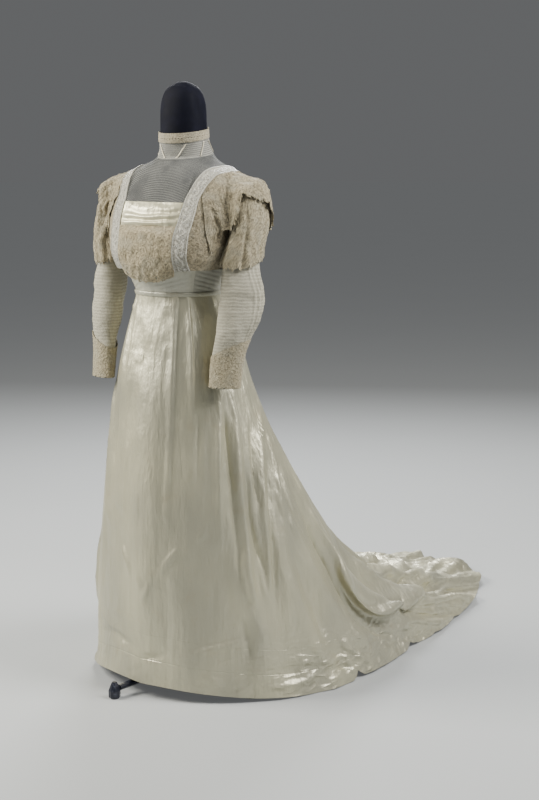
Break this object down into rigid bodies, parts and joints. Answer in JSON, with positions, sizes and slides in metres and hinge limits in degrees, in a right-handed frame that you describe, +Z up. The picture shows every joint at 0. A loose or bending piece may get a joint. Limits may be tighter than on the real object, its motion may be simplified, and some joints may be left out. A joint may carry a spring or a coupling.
{
  "type": "wedding dress on a dress form",
  "caption": "Satin bridal gown with net yoke and sleeves, lace tiers, braided straps and a long train, on a padded dress form with a footed stand.",
  "frame": {"origin": "on the floor under the middle of the bounding box, train included", "axes": "+Z up, the gown's front faces -Y, its train runs to +Y, its left side is +X"},
  "size_m": [0.7336, 1.6362, 1.51],
  "materials": {
    "satin": "ivory silk satin, soft sheen",
    "net": "fine net in narrow tucks",
    "lace": "ecru needle-style lace",
    "braid": "silver-white embroidered braid",
    "jersey": "black jersey cover",
    "iron": "black enamel"
  },
  "bodies": {
    "root": {"collar": "net", "collar_lace_band": "lace", "collar_stay_1": "satin", "collar_stay_2": "satin", "collar_stay_3": "satin", "collar_stay_4": "satin", "collar_stay_5": "satin", "collar_stay_6": "satin", "collar_stay_7": "satin", "collar_stay_8": "satin", "cuff_left": "lace", "cuff_right": "lace", "form_torso": "jersey", "lace_back_left": "lace", "lace_back_right": "lace", "lace_front": "lace", "lace_side_back_left": "lace", "lace_side_back_right": "lace", "lace_side_front_left": "lace", "lace_side_front_right": "lace", "lace_tier_lower_left": "lace", "lace_tier_lower_right": "lace", "lace_tier_upper_left": "lace", "lace_tier_upper_right": "lace", "midriff_back_left": "satin", "midriff_back_right": "satin", "midriff_front": "satin", "midriff_side_left": "net", "midriff_side_right": "net", "neckline_insert": "satin", "skirt_back_train": "satin", "skirt_front": "satin", "skirt_side_back_left": "satin", "skirt_side_back_right": "satin", "skirt_side_front_left": "satin", "skirt_side_front_right": "satin", "sleeve_left": "net", "sleeve_right": "net", "stand_foot_1": "iron", "stand_foot_2": "iron", "stand_foot_3": "iron", "stand_foot_4": "iron", "stand_hub": "iron", "stand_leg_1": "iron", "stand_leg_2": "iron", "stand_leg_3": "iron", "stand_leg_4": "iron", "stand_pole": "iron", "strap_left": "braid", "strap_right": "braid", "waist_piping": "satin", "yoke_back_left": "net", "yoke_back_right": "net", "yoke_front": "net"}
  },
  "joints": []
}
